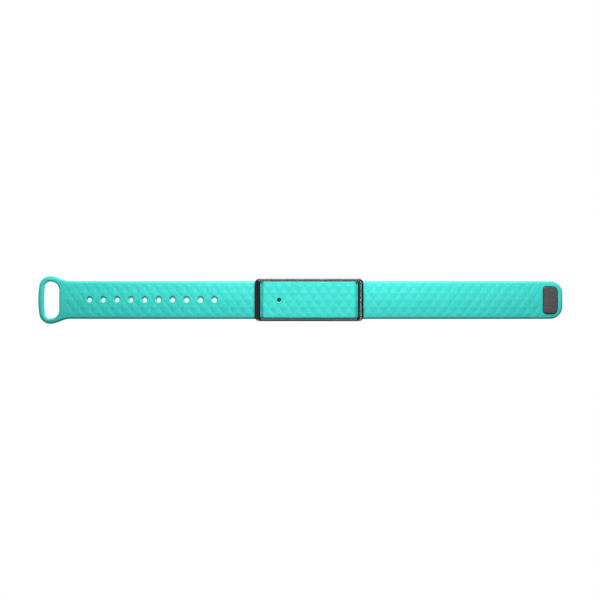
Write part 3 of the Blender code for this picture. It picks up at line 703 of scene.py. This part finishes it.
def strap_shell():
    shell = Shell()
    edge = strap_outline()
    blend_end, blend = PAD_EDGE_BLEND
    tight = smoothstep((blend_end - np.abs(edge[:, 0])) / blend) * (edge[:, 1] > 0)
    edge_round = EDGE_ROUND + (PAD_EDGE_ROUND - EDGE_ROUND) * tight
    top_edge, under_edge = add_through(shell, edge, -outward(edge), (edge_round, edge_round), UNDER_ROUND)
    top_holes, under_holes = [], []
    opening = opening_outline()
    cuts = [(opening, OPENING_ROUND, UNDER_ROUND)]
    for s in hole_centres():
        hole = circle(s, 0.0, HOLE_RADIUS)
        back = (1 + outward(hole)[:, 1]) / 2
        hole_round = [front + (rear - front) * back for front, rear in zip(HOLE_FRONT_ROUND, HOLE_ROUND)]
        cuts.append((hole, hole_round, UNDER_ROUND))
    cuts.append((circle(LED_S, 0.0, LED_HOLE_RADIUS), LED_ROUND, UNDER_ROUND))
    for loop, top_round, under_round in cuts:
        on_top, below = add_through(shell, loop, outward(loop), top_round, under_round)
        top_holes.append(on_top)
        under_holes.append(below)

    pocket = plate_outline(POCKET_GAP)
    rim = rounding(pocket, outward(pocket), POCKET_ROUND, top, 1)
    for a, b in zip(rim, rim[1:]):
        shell.strip(a, b)
    floor_ring = np.column_stack((pocket, np.full(len(pocket), POCKET_FLOOR)))
    shell.strip(rim[0], floor_ring)
    top_holes.append(rim[-1][:, :2])
    shank = circle(CLASP_S, 0.0, STUD_HOLE_RADIUS)
    shank_rings = rounding(shank, outward(shank), SHANK_ROUND, under, -1)
    for a, b in zip(shank_rings, shank_rings[1:]):
        shell.strip(a, b)
    shell.strip(shank_rings[0], np.column_stack((shank, np.full(len(shank), POCKET_FLOOR))))
    under_holes.append(shank_rings[-1][:, :2])
    flat, faces = patch(pocket, [shank], np.empty((0, 2)), seams=False)
    shell.surface(flat, faces, pocket_floor)

    lattice, links = relief_lattice(top_edge, top_holes)
    smooth = spread(PLAIN_STEP, top_edge, top_holes, in_relief)
    free = np.vstack((lattice, smooth))
    shell.surface(*patch(top_edge, top_holes, free, links), top)
    below = spread(UNDER_STEP, under_edge, under_holes)
    shell.surface(*patch(under_edge, under_holes, below), under, up=False)
    return shell


def welded(shell):
    """A shell as one welded bmesh, whose "along" layer holds each vertex's s."""
    flat = np.vstack(shell.points)
    bm = bmesh.new()
    along = bm.verts.layers.float.new("along")
    for place, s in zip(on_strap(flat), flat[:, 0]):
        bm.verts.new(place)[along] = s
    bm.verts.ensure_lookup_table()
    for face in shell.faces:
        bm.faces.new([bm.verts[i] for i in face])
    bmesh.ops.remove_doubles(bm, verts=bm.verts, dist=WELD * MM)
    bmesh.ops.recalc_face_normals(bm, faces=bm.faces)
    return bm


def strap_pieces():
    """Cuts the strap at its seams into one object for each link: {(side, number): object}.

    Piece (0, 0) is in the capsule. Each keeps the whole strap's normals, so no seam shows."""
    bm = welded(strap_shell())
    along = bm.verts.layers.float["along"]
    bm.normal_update()
    groups = {}
    for face in bm.faces:
        s = sum(vert[along] for vert in face.verts) / len(face.verts)
        number = int(np.searchsorted(SEAMS, abs(s)))
        side = 0 if number == 0 else int(math.copysign(1, s))
        groups.setdefault((side, number), []).append(face)
    pieces = {}
    for (side, number), faces in groups.items():
        verts = {vert: i for i, vert in enumerate({v: None for face in faces for v in face.verts})}
        name = "band_middle" if side == 0 else f"band_{'left' if side < 0 else 'right'}_{number:02d}"
        mesh = bpy.data.meshes.new(name)
        corners = [[verts[v] for v in face.verts] for face in faces]
        mesh.from_pydata([vert.co for vert in verts], [], corners)
        mesh.polygons.foreach_set("use_smooth", [True] * len(mesh.polygons))
        mesh.normals_split_custom_set_from_vertices([vert.normal for vert in verts])
        pieces[side, number] = add_object(name, mesh, "strap_tpu")
    bm.free()
    return pieces


def fit_strap():
    """Puts each piece of the strap on its bodies. It bends between the two links that share its hinge."""
    for (side, number), piece in strap_pieces().items():
        if side == 0:
            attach(piece, "capsule")
            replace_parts(piece, "strap_waist")
            continue
        word = "left" if side < 0 else "right"
        link = f"{word}_link_{number:02d}"
        inner = "capsule" if number == 1 else f"{word}_link_{number - 1:02d}"
        start = SEAMS[number - 1] + SEAM_MARGIN
        end = SEAMS[number] - SEAM_MARGIN if number < LINKS else LAST_D + PITCH / 2 - SEAM_MARGIN
        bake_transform(piece, inner, link, *on_strap([(side * start, 0, 0), (side * end, 0, 0)]))
        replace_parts(piece, f"strap_{word}_{number:02d}")


# ---------------------------------------------------------------- Rigid parts


def rounded_rectangle(half_x, half_y, corner):
    """A closed outline about the origin, in millimetres."""
    x, y = half_x - corner, half_y - corner
    centres = ((x, y, 0), (-x, y, 90), (-x, -y, 180), (x, -y, 270))
    corners = [arc((cx, cy), corner, start, start + 90, CORNER_STEPS) for cx, cy, start in centres]
    return np.vstack(corners)


def add_walls(bm, loops):
    """Quads between each loop of vertices and the next."""
    count = len(loops[0])
    for low, high in zip(loops, loops[1:]):
        for i in range(count):
            j = (i + 1) % count
            bm.faces.new((low[i], low[j], high[j], high[i]))


def block(half_x, half_y, z0, z1, corner):
    """A block in millimetres with rounded corners, as a bmesh in metres."""
    outline = rounded_rectangle(half_x, half_y, corner)
    bm = bmesh.new()
    loops = [[bm.verts.new(Vector((x, y, z)) * MM) for x, y in outline] for z in (z0, z1)]
    add_walls(bm, loops)
    bm.faces.new(loops[0][::-1])
    bm.faces.new(loops[1])
    return bm


def object_from(bm, name, slot):
    mesh = bpy.data.meshes.new(name)
    bm.to_mesh(mesh)
    bm.free()
    return add_object(name, mesh, slot)


def applied(obj):
    """Puts the result of an object's modifiers into its mesh."""
    graph = bpy.context.evaluated_depsgraph_get()
    mesh = bpy.data.meshes.new_from_object(obj.evaluated_get(graph))
    obj.modifiers.clear()
    obj.data = mesh


def carve(obj, *tools):
    """Cuts the tools out of an object, and removes them."""
    for tool in tools:
        modifier = obj.modifiers.new("cut", "BOOLEAN")
        modifier.object = tool
        modifier.solver = "EXACT"
    applied(obj)
    for tool in tools:
        bpy.data.objects.remove(tool)


def soften_edges(obj, width):
    """Rounds the sharp edges by width metres and shades the rest smooth."""
    mesh = obj.data
    mesh.polygons.foreach_set("use_smooth", [True] * len(mesh.polygons))
    bevel = obj.modifiers.new("edges", "BEVEL")
    bevel.width = width
    bevel.segments = EDGE_SEGMENTS
    bevel.limit_method = "ANGLE"
    bevel.angle_limit = math.radians(SHARP_ANGLE)
    bevel.harden_normals = True
    bevel.miter_outer = "MITER_ARC"
    applied(obj)


def crowned_ring(outer, inner, z0, z1, crown, bottom_round, steps=6):
    """A ring with a domed top between two matching outlines in millimetres, as a bmesh in metres."""
    inward = -outward(outer)
    rings = []
    for angle in np.linspace(math.pi / 2, 0, steps + 1):
        reach, rise = bottom_round * (1 - math.cos(angle)), bottom_round * (1 - math.sin(angle))
        rings.append((outer + inward * reach, z0 + rise))
    for angle in np.linspace(0, math.pi, 2 * steps + 1):
        share = (1 - math.cos(angle)) / 2
        rings.append((outer + (inner - outer) * share, z1 - crown * (1 - math.sin(angle))))
    rings.append((inner, z0))
    bm = bmesh.new()
    loops = [[bm.verts.new(Vector((x, y, z)) * MM) for x, y in ring] for ring, z in rings]
    add_walls(bm, loops + loops[:1])
    return bm


def add_frame():
    """The frame: a crowned ring, with a lip for the case inside and a slot for the strap at each end."""
    low, high = (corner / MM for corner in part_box("frame"))
    half_x, half_y = high.x, high.y
    inner_x, inner_y = half_x - FRAME_WALL, half_y - FRAME_WALL
    outer = rounded_rectangle(half_x, half_y, FRAME_CORNER)
    window = rounded_rectangle(half_x - BAR_WIDTH, inner_y, WINDOW_CORNER)
    bezel = object_from(
        crowned_ring(outer, window, low.z, high.z, FRAME_CROWN, FRAME_BOTTOM_ROUND),
        "capsule_frame", "dark_chrome",
    )
    cuts = (
        (inner_x, inner_y, low.z - 1, LIP_BOTTOM, FRAME_CORNER - FRAME_WALL),
        (inner_x, inner_y, LIP_TOP, BAR_BOTTOM, FRAME_CORNER - FRAME_WALL),
        (half_x + 1, inner_y, SLOT_FLOOR, BAR_BOTTOM, SLOT_CORNER),
    )
    for x, y, z0, z1, corner in cuts:
        carve(bezel, object_from(block(x, y, z0, z1, corner), "cutter", "dark_chrome"))
    soften_edges(bezel, FRAME_EDGE * MM)
    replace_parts(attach(bezel, "capsule"), "frame")
    return bezel


def add_clasp_face():
    """The clasp's plate: a low dome with rounded edges, sunk into the tip's pocket."""
    outline = plate_outline()
    inward = -outward(outline)
    shell = Shell()
    rings = [np.column_stack((outline, np.full(len(outline), PLATE_BOTTOM)))]
    for angle in np.linspace(0, math.pi / 2, ROUND_STEPS + 1):
        flat = outline + inward * PLATE_ROUND * (1 - math.cos(angle))
        rise = PLATE_TOP - PLATE_DOME - PLATE_ROUND * (1 - math.sin(angle))
        rings.append(np.column_stack((flat, np.full(len(flat), rise))))
    rim, centre = rings[-1][:, :2], np.array((CLASP_S, 0.0))
    for share in PLATE_DOME_SHARES:
        rise = PLATE_TOP - PLATE_DOME * share**2
        rings.append(np.column_stack((centre + (rim - centre) * share, np.full(len(rim), rise))))
    for a, b in zip(rings, rings[1:]):
        shell.strip(a, b)
    for ring in (rings[0], rings[-1]):
        shell.add(ring, [tuple(range(len(ring)))])
    bm = welded(shell)
    for face in bm.faces:
        face.smooth = True
    plate = object_from(bm, "clasp_face", "clasp_grey")
    plate.data.set_sharp_from_angle(angle=math.radians(PLATE_SHARP_ANGLE))
    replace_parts(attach(plate, "right_link_13"), "clasp_plate")


def refine(node_name, name, body, edge):
    """A copy of a CAD node with welded facets, smooth sides and rounded edges, in that node's place."""
    node = frame["nodes"][node_name]
    bm = bmesh.new()
    bm.from_mesh(node.data)
    bmesh.ops.remove_doubles(bm, verts=bm.verts, dist=0.0005 * MM)
    flat = math.radians(1)
    bmesh.ops.dissolve_limit(bm, angle_limit=flat, verts=bm.verts, edges=bm.edges)
    copy = object_from(bm, name, slot_of(node))
    soften_edges(copy, edge * MM)
    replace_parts(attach(copy, body), node_name)


def refine_small_parts():
    for number in (1, 2, 3, 4):
        refine(f"case_screw_{number}", f"screw_{number}", "capsule", SCREW_EDGE)
    for number in (1, 2):
        refine(f"charge_pin_{number}", f"contact_pin_{number}", "capsule", PIN_EDGE)
    refine("clasp_stud", "stud", "right_link_13", STUD_EDGE)
    refine("bottom_case", "case_back", "capsule", CASE_EDGE)
    refine("light_pipe", "indicator_lens", "capsule", LENS_EDGE)


# ---------------------------------------------------------------- Stage


def softbox(name, place, size, power, aim=(0, 0, 0.008), spread=180):
    """An area light of power watts, in a cone of spread degrees. The camera doesn't see it."""
    light = bpy.data.lights.new(name, "AREA")
    light.shape = "RECTANGLE"
    light.size, light.size_y = size
    light.energy = power
    light.spread = math.radians(spread)
    obj = bpy.data.objects.new(name, light)
    bpy.context.scene.collection.objects.link(obj)
    obj.location = place
    obj.rotation_mode = "QUATERNION"
    obj.rotation_quaternion = (Vector(place) - Vector(aim)).to_track_quat("Z", "Y")
    obj.visible_camera = False
    return obj


def link_light(light, obj, state, role="receiver_collection"):
    """Keeps a light off one object ("EXCLUDE"), as a flag does in a studio, or for it alone ("INCLUDE").

    In the role "blocker_collection", it is the object's shadow that is left out."""
    chosen = bpy.data.collections.new(light.name)
    chosen.objects.link(obj)
    chosen.collection_objects[0].light_linking.link_state = state
    setattr(light.light_linking, role, chosen)


def add_lights(bezel):
    """Soft light from behind and above. The frame has lights of its own, which draw its highlights."""
    strap_lights = (
        softbox("key", place=(0.02, 0.17, 0.14), size=(0.10, 0.06), power=0.54),
        softbox("overhead_right", place=(0.20, 0.0, 0.9), size=(0.08, 0.20), power=0.50),
    )
    rim = softbox("rim", place=(-0.02, 0.30, 0.22), size=(0.50, 0.12), power=0.78)
    softbox("overhead_left", place=(-0.30, 0.0, 0.9), size=(0.04, 0.20), power=0.05)
    end, side, top_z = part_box("frame")[1]
    end_bar = (end - BAR_WIDTH * MM / 2, 0, top_z)
    back_bar = (0, side, top_z)
    frame_lights = [
        softbox("end_stripe", (end + 0.022, 0, 0.26), (0.05, 0.016), 0.0013, aim=end_bar, spread=16),
        softbox("back_stripe", (0, 0.04, 0.06), (0.05, 0.01), 0.0017, aim=back_bar, spread=20),
        softbox("back_sheen", place=(-0.35, 0.35, 0.23), size=(0.25, 0.12), power=0.6),
        softbox("front_sheen", place=(0.35, -0.35, 0.15), size=(0.25, 0.12), power=0.6),
    ]
    for x in (-0.12, 0.12):
        frame_lights.append(softbox("corner_sheen", place=(x, -0.17, 0.42), size=(0.08, 0.08), power=1.5))
    for light in strap_lights:
        link_light(light, bezel, "EXCLUDE")
    for light in frame_lights:
        link_light(light, bezel, "INCLUDE")
    link_light(rim, bezel, "EXCLUDE", "blocker_collection")


def add_world():
    """The room: white to the camera, like a lit backdrop, and dim to everything that reflects it."""
    world = bpy.data.worlds.new("studio")
    bpy.context.scene.world = world
    world.use_nodes = True
    tree = world.node_tree
    tree.nodes.clear()

    def light(strength):
        background = tree.nodes.new("ShaderNodeBackground")
        background.inputs["Color"].default_value = (*WHITE, 1)
        background.inputs["Strength"].default_value = strength
        return background.outputs["Background"]

    ray = tree.nodes.new("ShaderNodeLightPath").outputs
    room = add_either(tree, ray["Is Glossy Ray"], light(ROOM_LIGHT), light(ROOM_REFLECTION))
    room = add_either(tree, ray["Is Camera Ray"], room, light(1.0))
    output = tree.nodes.new("ShaderNodeOutputWorld")
    tree.links.new(room, output.inputs["Surface"])


def table_material():
    """White paper. The camera sees the white backdrop through it, with a painted contact shadow where the
    band is near, tinted cyan as painted light bounced off the strap.

    So links that curl down past the table stay in sight. It casts no shadow, and rays from below pass
    through it, so those links are lit much like the others."""
    material, tree, shader = new_material("table")
    shader.inputs["Roughness"].default_value = 0.6
    coordinates = tree.nodes.new("ShaderNodeTexCoord").outputs["Object"]
    paper = add_noise(tree, coordinates, 4 * MM)
    greys = add_ramp(tree, paper, [(0.3, (0.40, 0.40, 0.40)), (0.7, (0.43, 0.43, 0.43))])
    tree.links.new(greys, shader.inputs["Base Color"])
    clear = tree.nodes.new("ShaderNodeBsdfTransparent")
    # painted contact shadow: the table goes darker and cyan near the band, a painted shade tinted as painted
    # bounce light from the strap
    contact = add_painted_shade(tree, PAINTED_CONTACT_REACH, [(0.1, (0.50, 0.97, 0.95)), (0.55, WHITE)])
    tree.links.new(contact, clear.inputs["Color"])
    open_air = tree.nodes.new("ShaderNodeBsdfTransparent").outputs["BSDF"]
    ray = tree.nodes.new("ShaderNodeLightPath").outputs
    below = tree.nodes.new("ShaderNodeNewGeometry").outputs["Backfacing"]
    surface = add_either(tree, below, shader.outputs["BSDF"], open_air)
    surface = add_either(tree, ray["Is Camera Ray"], surface, clear.outputs["BSDF"])
    surface = add_either(tree, ray["Is Shadow Ray"], surface, open_air)
    tree.links.new(surface, tree.nodes["Material Output"].inputs["Surface"])
    return material


def add_table():
    bm = bmesh.new()
    bmesh.ops.create_grid(bm, x_segments=1, y_segments=1, size=TABLE_HALF_SIZE)
    mesh = bpy.data.meshes.new("table")
    bm.to_mesh(mesh)
    bm.free()
    table = bpy.data.objects.new("table", mesh)
    bpy.context.scene.collection.objects.link(table)
    table.data.materials.append(table_material())
    table.visible_glossy = False


def add_camera():
    """A long lens straight above the band, as far off as its view is VIEW_WIDTH wide."""
    camera = bpy.data.cameras.new("camera")
    camera.lens = LENS
    camera.clip_start = 0.01
    obj = bpy.data.objects.new("camera", camera)
    bpy.context.scene.collection.objects.link(obj)
    distance = VIEW_WIDTH * LENS / camera.sensor_width
    obj.location = Vector(CAMERA_AIM) + Vector((0, 0, distance))
    bpy.context.scene.camera = obj


# ---------------------------------------------------------------- The scene


add_camera()
add_world()
add_table()
finish_cad_nodes()
fit_strap()
add_lights(add_frame())
add_clasp_face()
refine_small_parts()
bpy.context.scene.view_settings.view_transform = "Standard"
